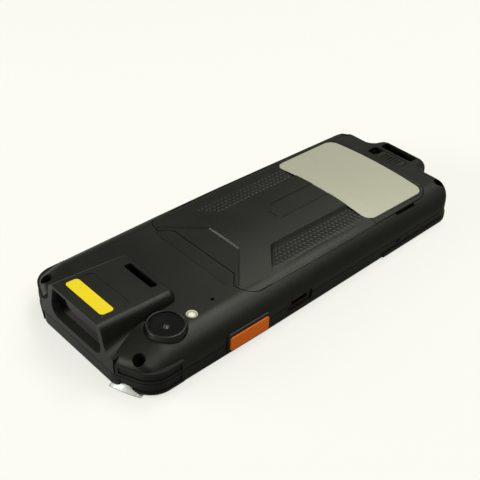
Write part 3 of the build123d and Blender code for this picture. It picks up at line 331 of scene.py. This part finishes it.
def metal(name, colour, roughness, grain_mm, stretch=(1, 1, 1)):
    """Metal with a rolled grain along one direction, or an even one."""
    material, tree = blank_material(name)
    place = add(tree, "ShaderNodeTexCoord").outputs["Object"]
    drawn = add(tree, "ShaderNodeMapping", {"Vector": place, "Scale": stretch})
    lines = add(tree, "ShaderNodeTexNoise",
                {"Vector": drawn.outputs[0], "Scale": 1 / (grain_mm * MM), "Detail": 3.0,
                 "Roughness": 0.6})
    rough = add(tree, "ShaderNodeMapRange",
                {0: lines.outputs[0], 1: 0.3, 2: 0.7, 3: roughness - 0.06, 4: roughness + 0.08})
    bump = add(tree, "ShaderNodeBump",
               {"Height": lines.outputs[0], "Distance": METAL_DEPTH * MM, "Strength": 1.0})
    shader = add(tree, "ShaderNodeBsdfPrincipled",
                 {"Base Color": rgb(colour), "Metallic": 1.0, "Roughness": rough.outputs[0],
                  "Normal": bump.outputs[0]})
    add(tree, "ShaderNodeOutputMaterial", {"Surface": shader.outputs[0]})
    return material


# %% The metals
metals = {
    # rolling leaves fine lines, which stretch each highlight across them
    "steel": metal("rolled_stainless_steel", "#A9A8A4", 0.34, 0.3, (1, 0.08, 1)),
    # the skin of a casting is pale and dull, with no direction
    "alloy": metal("die_cast_magnesium", "#8F9092", 0.5, 0.5),
    # thin gold over copper: warm and smooth
    "contact_gold": metal("gold_plated_copper", "#B0743C", 0.3, 0.4),
    # the oxide holds a trace of oil: nearly black, with a faint sheen
    "screw_black": metal("black_oxide_steel", "#2A2A29", 0.45, 0.3),
    # painted shade: the socket's plate is coloured dark for the shade deep in its recess, and left rough
    "nickel_in_painted_shade": metal("nickel_plate_painted_dark", "#46443F", 0.45, 0.3),
}
finishes.update(metals)
print(len(metals), "metals")

# %% [markdown]
# ## Labels and wraps
# The large label is silver polyester with a matt lacquer: grey, a little glossy, never quite flat, because
# it bridges small hollows. The sticker is yellow vinyl, cut with rounded corners. Both stay blank.

# %% Film that lies in slow waves
TOOTH_MM, TOOTH_DEPTH = 0.4, 0.006      # fine tooth of the lacquer


def film_print(name, colours, roughness, wave_mm, wave_depth, metallic=0.0, coat=0.0):
    """Self-adhesive film that shows slow waves and a fine tooth."""
    material, tree = blank_material(name)
    place = add(tree, "ShaderNodeTexCoord").outputs["Object"]
    waves = add(tree, "ShaderNodeTexNoise",
                {"Vector": place, "Scale": 1 / (wave_mm * MM), "Detail": 2.0, "Roughness": 0.45,
                 "Distortion": 0.4})
    tooth = add(tree, "ShaderNodeTexNoise",
                {"Vector": place, "Scale": 1 / (TOOTH_MM * MM), "Detail": 3.0})
    tone = add(tree, "ShaderNodeMix",
               {0: tooth.outputs[0], 6: rgb(colours[0]), 7: rgb(colours[1])}, data_type="RGBA")
    fine = add(tree, "ShaderNodeBump",
               {"Height": tooth.outputs[0], "Distance": TOOTH_DEPTH * MM, "Strength": 1.0})
    bump = add(tree, "ShaderNodeBump",
               {"Height": waves.outputs[0], "Distance": wave_depth * MM, "Strength": 1.0,
                "Normal": fine.outputs[0]})
    shader = add(tree, "ShaderNodeBsdfPrincipled",
                 {"Base Color": tone.outputs[2], "Roughness": roughness, "Metallic": metallic,
                  "Coat Weight": coat, "Coat Roughness": 0.3, "Normal": bump.outputs[0]})
    add(tree, "ShaderNodeOutputMaterial", {"Surface": shader.outputs[0]})
    return material


# %% The labels, the wrap and the board
films = {
    # lacquer over a layer of metal: grey, with a broad soft sheen
    "label_silver": film_print("matt_silver_polyester", ("#9D9D8C", "#ABAB9B"), 0.42, 9, 0.10,
                               metallic=0.15),
    # a strong, even colour under a thin gloss
    "label_yellow": film_print("yellow_vinyl", ("#DDC600", "#E8D204"), 0.38, 4, 0.05, coat=0.2),
    # the wrap is drawn tight over the cell and leaves soft waves
    "battery_wrap": film_print("black_shrink_wrap", ("#161617", "#1D1D1F"), 0.4, 6, 0.12),
    # lacquer over copper: deep green and glossy
    "board_green": film_print("solder_resist", ("#0E3A1E", "#134A27"), 0.35, 3, 0.05, coat=0.4),
    # silicone over the flash's diode: cream, and it spreads the light
    "flash_white": film_print("frosted_silicone", ("#E2E0C4", "#F0EED8"), 0.3, 0.9, 0.12, coat=0.6),
}
finishes.update(films)
print(len(films), "films and lacquers")

# %% [markdown]
# ## Glass and clear plastic
# The scan window is a dark red filter, which looks black until light shines through it. The touch glass is
# black behind. The camera's glass is clear, so that the printed mask and the lens behind it are real
# pieces. The flash has a small moulded lens over a white reflector. The shipping film is thin polyester
# with a milky haze, and it shows mostly as a white edge.

# %% Dark glass
WIPE_MM = 6                     # width of the faint marks that a cloth leaves


def dark_glass(name, colour, roughness, specular=0.5):
    """Polished plastic or glass that is black behind, with faint wipe marks."""
    material, tree = blank_material(name)
    place = add(tree, "ShaderNodeTexCoord").outputs["Object"]
    wipes = add(tree, "ShaderNodeTexNoise",
                {"Vector": place, "Scale": 1 / (WIPE_MM * MM), "Detail": 3.0, "Distortion": 1.0})
    rough = add(tree, "ShaderNodeMapRange",
                {0: wipes.outputs[0], 1: 0.35, 2: 0.7, 3: roughness, 4: roughness + 0.07})
    shader = add(tree, "ShaderNodeBsdfPrincipled",
                 {"Base Color": rgb(colour), "Roughness": rough.outputs[0],
                  "Specular IOR Level": specular, "IOR": 1.5})
    add(tree, "ShaderNodeOutputMaterial", {"Surface": shader.outputs[0]})
    return material


# %% Clear glass
HAZE_MM = 4                     # width of the patches of haze on the small camera glass


def clear_glass(name, colour, roughness):
    """Clear plate that mirrors a little on its outer face and lets the rest of the light through."""
    material, tree = blank_material(name)
    place = add(tree, "ShaderNodeTexCoord").outputs["Object"]
    haze = add(tree, "ShaderNodeTexNoise",
               {"Vector": place, "Scale": 1 / (HAZE_MM * MM), "Detail": 3.0})
    rough = add(tree, "ShaderNodeMapRange",
                {0: haze.outputs[0], 1: 0.35, 2: 0.7, 3: roughness, 4: roughness + 0.04})
    gloss = add(tree, "ShaderNodeBsdfGlossy", {"Color": rgb("#FFFFFF"), "Roughness": rough.outputs[0]})
    through = add(tree, "ShaderNodeBsdfTransparent", {"Color": rgb(colour)})
    edge = add(tree, "ShaderNodeFresnel", {"IOR": 1.45})
    surface = add(tree, "ShaderNodeNewGeometry")
    outer = add(tree, "ShaderNodeMath",
                {0: 1.0, 1: surface.outputs["Backfacing"]}, operation="SUBTRACT")
    share = add(tree, "ShaderNodeMath", {0: edge.outputs[0], 1: outer.outputs[0]}, operation="MULTIPLY")
    both = add(tree, "ShaderNodeMixShader",
               {0: share.outputs[0], 1: through.outputs[0], 2: gloss.outputs[0]})
    add(tree, "ShaderNodeOutputMaterial", {"Surface": both.outputs[0]})
    return material


# %% Flash lens
# painted shade: the grey ring stands for the dome bending away from the light
FLASH_SHADE_RING = (0.45, 0.78)       # shares of the radius between which the dome turns grey
FLASH_RIM = (0.82, 0.95)        # and between which its flat rim turns pale again
FACET_MM, FACET_DEPTH = 0.45, 0.05


def flash_cap(name, middle, radius):
    """Moulded lens over a reflector: bright in the middle, partly the white reflector's own colour and partly
    a painted highlight, with a painted grey ring of shade where the dome bends away.
    """
    material, tree = blank_material(name)
    place = add(tree, "ShaderNodeTexCoord").outputs["Object"]
    away = add(tree, "ShaderNodeVectorMath", {0: place, 1: middle}, operation="DISTANCE")
    ring = add(tree, "ShaderNodeMapRange",
               {0: away.outputs["Value"], 1: FLASH_SHADE_RING[0] * radius, 2: FLASH_SHADE_RING[1] * radius})
    rim = add(tree, "ShaderNodeMapRange",
              {0: away.outputs["Value"], 1: FLASH_RIM[0] * radius, 2: FLASH_RIM[1] * radius})
    grey = add(tree, "ShaderNodeMix",
               {0: ring.outputs[0], 6: rgb("#F1EFDA"), 7: rgb("#8D8C78")}, data_type="RGBA")
    tone = add(tree, "ShaderNodeMix",
               {0: rim.outputs[0], 6: grey.outputs[2], 7: rgb("#CFCDB8")}, data_type="RGBA")
    facets = add(tree, "ShaderNodeTexVoronoi", {"Vector": place, "Scale": 1 / (FACET_MM * MM)})
    bump = add(tree, "ShaderNodeBump",
               {"Height": facets.outputs["Distance"], "Distance": FACET_DEPTH * MM, "Strength": 1.0})
    shader = add(tree, "ShaderNodeBsdfPrincipled",
                 {"Base Color": tone.outputs[2], "Roughness": 0.22, "Normal": bump.outputs[0],
                  "Coat Weight": 0.6})
    add(tree, "ShaderNodeOutputMaterial", {"Surface": shader.outputs[0]})
    return material


# %% Shipping film
CREASE_MM, CREASE_DEPTH = 5, 0.2


def milky_film(name):
    """Thin polyester film: half clear, half white haze, creased a little."""
    material, tree = blank_material(name)
    place = add(tree, "ShaderNodeTexCoord").outputs["Object"]
    creases = add(tree, "ShaderNodeTexNoise",
                  {"Vector": place, "Scale": 1 / (CREASE_MM * MM), "Detail": 4.0, "Distortion": 1.5})
    bump = add(tree, "ShaderNodeBump",
               {"Height": creases.outputs[0], "Distance": CREASE_DEPTH * MM, "Strength": 1.0})
    haze = add(tree, "ShaderNodeBsdfPrincipled",
               {"Base Color": rgb("#E6EAE6"), "Roughness": 0.3, "Normal": bump.outputs[0],
                "Coat Weight": 0.5})
    through = add(tree, "ShaderNodeBsdfTransparent", {"Color": rgb("#E8EEF0")})
    milk = add(tree, "ShaderNodeMapRange", {0: creases.outputs[0], 1: 0.3, 2: 0.7, 3: 0.6, 4: 0.95})
    both = add(tree, "ShaderNodeMixShader",
               {0: milk.outputs[0], 1: through.outputs[0], 2: haze.outputs[0]})
    add(tree, "ShaderNodeOutputMaterial", {"Surface": both.outputs[0]})
    return material


# %% The glasses and clear plastics
flash_low, flash_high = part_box("flash_lens")
# painted highlight: the reflector's bright spot
FLASH_HIGHLIGHT_SHIFT = Vector((0.3, -0.3, 0)) * MM       # the reflector's bright spot sits a little off the middle
FLASH_RADIUS = 2.2 * MM

glasses = {
    # painted light: the bright spot, partly the reflector's white and partly a painted highlight, sits in a
    # grey ring of painted shade
    "flash_cap": flash_cap("frosted_flash_lens_painted_light", (flash_low + flash_high) / 2 + FLASH_HIGHLIGHT_SHIFT, FLASH_RADIUS),
    # polished and almost black, so only strong lamps show in it
    "window": dark_glass("red_filter_acrylic", "#070304", 0.06, specular=0.2),
    # the hardest and smoothest face of all: it mirrors the room over black
    "touch_glass": dark_glass("toughened_touch_glass", "#060607", 0.05),
    # the coating takes most of the mirror image away
    "clear_glass": clear_glass("coated_camera_glass", "#E8E8E8", 0.04),
    # milky where it is creased, clear between
    "film": milky_film("polyester_film"),
}
finishes.update(glasses)
print(len(glasses), "glasses and clear plastics")

# %% Give every CAD node its finish
slot_of = {row["node"]: row["material_slot"] for row in frame["record"]["subparts"]}
finish_of = {**slot_of, "display_glass": "touch_glass", "display_panel": "touch_glass",
             "usb_shell": "nickel_in_painted_shade", "flash_lens": "flash_cap"}
for name, node in nodes.items():
    node.data.materials.clear()
    node.data.materials.append(finishes[finish_of[name]])
print(len(set(finish_of.values())), "finishes on", len(nodes), "nodes")

# %% [markdown]
# ## Pieces that CAD leaves out
# A piece made here has its points worked out in millimetres of the part's own frame, rides on a CAD body,
# and is given a finish. Distances along the terminal count from the scanner's face.

# %% Make and place a mesh piece
scanner_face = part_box("rear_housing")[0].y


def piece(name, points, faces, body, finish):
    """Smooth mesh object from points in millimetres."""
    mesh = bpy.data.meshes.new(name)
    mesh.from_pydata([tuple(c * MM for c in point) for point in points], [], faces)
    mesh.materials.append(finish)
    mesh.validate()
    mesh.shade_smooth()
    made = bpy.data.objects.new(name, mesh)
    bpy.context.scene.collection.objects.link(made)
    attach(made, body)
    print(name, len(mesh.polygons), "faces")
    return made


def along(distance):
    """Y in millimetres of a distance from the scanner's face."""
    return scanner_face / MM + distance


# %% [markdown]
# ## The moulded grip
# The hollows beside the battery cover's middle carry rows of small leaning ridges, cut into the mould by
# a milling cutter. Modelled scale by scale they would need hundreds of small solids. A relief is simpler: a
# fine sheet follows the cover's surface, found by rays from above, and is lifted by a height that repeats
# along the rows and across them. It fades out where the side rolls down.

# %% Where the grip lies
GRIP_X, GRIP_S = (15.2, 26.5), (63.0, 119.1)
CORNER_X, CORNER_S = 15.0, 78.0         # the hollow's corner, from which its front edge slants outwards
SLANT = 1.02                            # the front edge moves this much along the length for each step across


def behind_edge(x, s):
    """Distance along the length from the hollow's slanted front edge."""
    return (s - CORNER_S) + SLANT * (x - CORNER_X)


print("each grip is", round(GRIP_S[1] - GRIP_S[0], 1), "mm long")

# %% Height of the scales
ROW_MM, SCALE_MM = 1.9, 2.05            # distance of the rows, and of the scales in a row
SCALE_HEIGHT = 0.21
LEAN_SHARE = 0.3                        # the ridges run this much along the length for each step across
ROW_FLOOR = 0.42                        # height left between two rows, as a share
INNER_FADE, REAR_FADE = 1.2, 0.4        # the scales begin over these lengths
FRONT_FADE, SIDE_FADE = (0.4, 1.2), (20.5, 26.0)


def rise(value, low, high):
    """Smooth step from 0 to 1."""
    share = min(1.0, max(0.0, (value - low) / (high - low)))
    return share * share * (3 - 2 * share)


def scale_height(x, s, side):
    """Height of the relief at a distance x from the middle line, on side +1 or -1."""
    row = (x - GRIP_X[0]) / ROW_MM % 1.0
    rows = ROW_FLOOR + (1 - ROW_FLOOR) * math.sin(math.pi * row) ** 2
    wave = 0.5 - 0.5 * math.cos(2 * math.pi * (s - LEAN_SHARE * side * x) / SCALE_MM)
    inside = rise(x, GRIP_X[0], GRIP_X[0] + INNER_FADE) * rise(behind_edge(x, s), *FRONT_FADE)
    inside *= (1 - rise(s, GRIP_S[1] - REAR_FADE, GRIP_S[1])) * (1 - rise(x, *SIDE_FADE))
    return SCALE_HEIGHT * wave * rows * inside


print("scales of", ROW_MM, "x", SCALE_MM, "mm, at most", SCALE_HEIGHT, "mm high")

# %% Find the cover's surface
ABOVE = 0.05                            # metres, well over the cover

cover = nodes["battery_cover"]
cover_tree = BVHTree.FromPolygons([v.co for v in cover.data.vertices],
                                  [p.vertices for p in cover.data.polygons])


def cover_height(x, y):
    """Height in millimetres of the cover under a point."""
    return cover_tree.ray_cast(Vector((x * MM, y * MM, ABOVE)), Vector((0, 0, -1)))[0].z / MM


print("the middle of the cover is", round(cover_height(0, 0), 2), "mm high")

# %% Lay the relief on the cover
STEP_X, STEP_S = 0.19, 0.2
SUNK = 0.03                             # the sheet's edge lies this deep in the cover
EDGE_ROOM = 0.2                         # and the sheet ends this far behind the slanted edge


def grip(side, name):
    """Relief sheet of one hollow; side is +1 or -1."""
    points, index, faces = [], {}, []
    for i in range(int((GRIP_X[1] - GRIP_X[0]) / STEP_X) + 1):
        x = GRIP_X[0] + i * STEP_X
        for j in range(int((GRIP_S[1] - GRIP_S[0]) / STEP_S) + 1):
            s = GRIP_S[0] + j * STEP_S
            if behind_edge(x, s) < EDGE_ROOM:
                continue
            index[i, j] = len(points)
            z = cover_height(side * x, along(s)) + scale_height(x, s, side) - SUNK
            points.append((side * x, along(s), z))
    for i, j in index:
        loop = [(i, j), (i + 1, j), (i + 1, j + 1), (i, j + 1)]
        if all(corner in index for corner in loop):
            corners = [index[corner] for corner in loop]
            faces.append(corners if side > 0 else corners[::-1])
    return piece(name, points, faces, "cover", finishes["rear_shell"])


grip(1, "grip_scales_right")
grip(-1, "grip_scales_left")

# %% [markdown]
# ## The painted shade round the inset plate
# A small plate is sunk a hair into the middle of the cover, and the gap round it holds shade. The gap
# could be cut into the mesh, but a real gap of 0.2 mm lets no light out, so a narrow dark ribbon of painted
# shade just outside the plate's edge looks the same and leaves the cover whole.

# %% Draw the painted shade of the gap
GAP_MM, GAP_LIFT = 0.22, 0.02
GAP_STEP = 0.6
PLATE_LINE = [(-1.3, 91.6), (3.0, 91.6), (4.1, 92.0), (4.62, 93.1), (4.62, 119.4)]   # x, and distance along


def ribbon(name, line, width, lift, finish):
    """Flat ribbon along a line of (x, s) points on the cover."""
    dense = []
    for (x0, s0), (x1, s1) in zip(line, line[1:]):
        steps = max(1, round(math.hypot(x1 - x0, s1 - s0) / GAP_STEP))
        dense += [(x0 + (x1 - x0) * k / steps, s0 + (s1 - s0) * k / steps) for k in range(steps)]
    dense.append(line[-1])
    points = []
    for k, (x, s) in enumerate(dense):
        (xa, sa), (xb, sb) = dense[max(0, k - 1)], dense[min(len(dense) - 1, k + 1)]
        length = math.hypot(xb - xa, sb - sa)
        aside = ((sb - sa) / length * width / 2, -(xb - xa) / length * width / 2)
        for share in (1, -1):
            px, py = x + share * aside[0], along(s + share * aside[1])
            points.append((px, py, cover_height(px, py) + lift))
    faces = [(2 * k, 2 * k + 2, 2 * k + 3, 2 * k + 1) for k in range(len(dense) - 1)]
    return piece(name, points, faces, "cover", finish)


# painted shade: a deep narrow gap sends no light back, so the ribbon has neither colour nor shine
painted_gap_shade = moulded("painted_shade_gap", ("#020202", "#040403"), 0.9, 0.01, specular=0.0)
ribbon("plate_gap_painted_shade", PLATE_LINE, GAP_MM, GAP_LIFT, painted_gap_shade)

# %% [markdown]
# ## Behind the camera's glass
# Under the clear glass lies a dark mask with a round opening, printed on its back. In the opening stands
# the lens: a stepped barrel and a domed front element. They are turned shapes, so each is a profile
# spun round the axis.

# %% Spin a profile
SPIN_STEPS = 64


def turned(name, profile, centre, body, finish):
    """Surface of revolution from (radius, height) points, about an upright axis."""
    points, faces = [], []
    for radius, height in profile:
        for k in range(SPIN_STEPS):
            angle = 2 * math.pi * k / SPIN_STEPS
            x, y = radius * math.cos(angle), radius * math.sin(angle)
            points.append((centre[0] + x, centre[1] + y, height))
    for ring in range(len(profile) - 1):
        low, high = ring * SPIN_STEPS, (ring + 1) * SPIN_STEPS
        for k in range(SPIN_STEPS):
            after = (k + 1) % SPIN_STEPS
            faces.append((low + k, low + after, high + after, high + k))
    return piece(name, points, faces, body, finish)


# %% Mask and barrel
GLASS_GAP = 0.02                        # the ink lies this far under the glass
MASK_R, OPENING_R, LIP_R, LIP_DEPTH = 5.15, 2.5, 2.42, 0.1
BARREL = ((2.45, 0.08), (2.24, 0.14), (2.16, 0.75))     # radius and depth of mouth, step and foot

glass_low, glass_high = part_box("camera_glass")
eye = ((glass_low.x + glass_high.x) / 2 / MM, (glass_low.y + glass_high.y) / 2 / MM)
under_glass = glass_low.z / MM - GLASS_GAP
# ink on the back of the glass: flat black with almost no shine
mask_ink = dark_glass("printed_mask_ink", "#0A0B05", 0.5, specular=0.05)
# painted light: the barrel is coloured grey for the light that its moulded rings catch, so it shows beside
# the ink
barrel_painted_light = dark_glass("matt_lens_barrel_painted_light", "#74746C", 0.5, specular=0.3)
mask_profile = [(MASK_R, under_glass), (OPENING_R, under_glass), (LIP_R, under_glass - LIP_DEPTH)]
barrel_profile = [(radius, under_glass - depth) for radius, depth in BARREL]
turned("camera_mask", mask_profile, eye, "terminal", mask_ink)
turned("lens_barrel", barrel_profile, eye, "terminal", barrel_painted_light)

# %% Front element
EDGE_R, EDGE_SINK = 2.18, 0.42
DOME_R = 9.0                            # radius of the dome's curve
BEAD_R, BEAD_RISE = 0.8, 0.26           # the small inner lens that shows as a bead in the middle
LENS_RINGS = 24

lens_profile = []
for ring in range(LENS_RINGS, -1, -1):
    radius = EDGE_R * ring / LENS_RINGS
    bead = BEAD_RISE * max(0.0, 1 - (radius / BEAD_R) ** 2)
    lens_profile.append((radius, under_glass - EDGE_SINK - radius ** 2 / (2 * DOME_R) + bead))
# the coated glass mirrors strongly; its grey colour is painted light, standing for light from inside the lens
# that shows through it
front_lens_painted_light = dark_glass("coated_front_element_painted_light", "#62635C", 0.14, specular=0.9)
turned("front_lens", lens_profile, eye, "terminal", front_lens_painted_light)

# %% [markdown]
# ## The tab of the shipping film
# The screen is still covered by its shipping film. Its pull tab sticks out at one corner of the scanner
# end, where the terminal's weight has pushed it into an arch. The tab is a grid whose middle is lifted, and
# a second grid a film's thickness below it closes the sheet.

# %% Shape of the arched tab
TAB_LENGTH, TAB_REACH, TAB_ARCH, TAB_THICKNESS = 12.4, 3.4, 2.7, 0.1
TAB_START, TAB_WAY = (18.3, 1.3), (0.931, 0.364)      # start of the film's slanted edge, and its direction
TAB_REST, TAB_LOWEST = 0.13, 0.02       # height of the flat ends, and the least height over the floor
TAB_SHARPNESS = 1.4                     # over 1, the arch starts slowly at both ends
TAB_LIP = (0.08, 0.86)                  # shares of the outward wave where the film begins and how far it goes
CREASE_SHARE, CREASE_TURNS = 0.10, (9, 3)
TAB_NARROW = 0.78                       # reach at both ends, as a share of the middle's
ALONG_STEPS, OUT_STEPS = 36, 12


def tab_point(i, j, below):
    """Point of the arched tab; i runs along the edge, j outwards."""
    u, v = i / ALONG_STEPS, j / OUT_STEPS
    lip = min(1.0, TAB_LIP[0] + TAB_LIP[1] * v)
    arch = math.sin(math.pi * u) ** TAB_SHARPNESS * math.sin(math.pi * lip)
    crease = CREASE_SHARE * math.sin(CREASE_TURNS[0] * u + CREASE_TURNS[1] * v) * v
    reach = TAB_REACH * v * (TAB_NARROW + (1 - TAB_NARROW) * math.sin(math.pi * u))
    x = TAB_START[0] + TAB_WAY[0] * TAB_LENGTH * u + TAB_WAY[1] * reach
    s = TAB_START[1] + TAB_WAY[1] * TAB_LENGTH * u - TAB_WAY[0] * reach
    height = max(TAB_LOWEST, TAB_REST + TAB_ARCH * arch + crease * arch)
    return (x, along(s), height - below)


print("the tab rises to", round(tab_point(ALONG_STEPS // 2, OUT_STEPS // 2, 0)[2], 2), "mm")

# %% Make the tab
COLUMN = OUT_STEPS + 1
UNDER = (ALONG_STEPS + 1) * COLUMN      # index of the first point of the lower sheet

points = [
    tab_point(i, j, below)
    for below in (0, TAB_THICKNESS)
    for i in range(ALONG_STEPS + 1)
    for j in range(COLUMN)
]
faces = []
for i in range(ALONG_STEPS):
    for j in range(OUT_STEPS):
        first = i * COLUMN + j
        loop = (first, first + 1, first + COLUMN + 1, first + COLUMN)
        faces += [loop[::-1], tuple(k + UNDER for k in loop)]
rim = [i * COLUMN for i in range(ALONG_STEPS + 1)]
rim += [ALONG_STEPS * COLUMN + j for j in range(1, COLUMN)]
rim += [i * COLUMN + OUT_STEPS for i in range(ALONG_STEPS - 1, -1, -1)]
rim += list(range(OUT_STEPS - 1, 0, -1))
for here, there in zip(rim, rim[1:] + rim[:1]):
    faces.append((here, there, there + UNDER, here + UNDER))
tab = piece("film_tab_arched", points, faces, "terminal", finishes["film"])
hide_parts("film_tab")

# %% [markdown]
# ## Finish
# The view keeps Blender's Standard transform, so that a colour looks as it is written.

# %% Keep the Standard view transform
bpy.context.scene.view_settings.view_transform = "Standard"
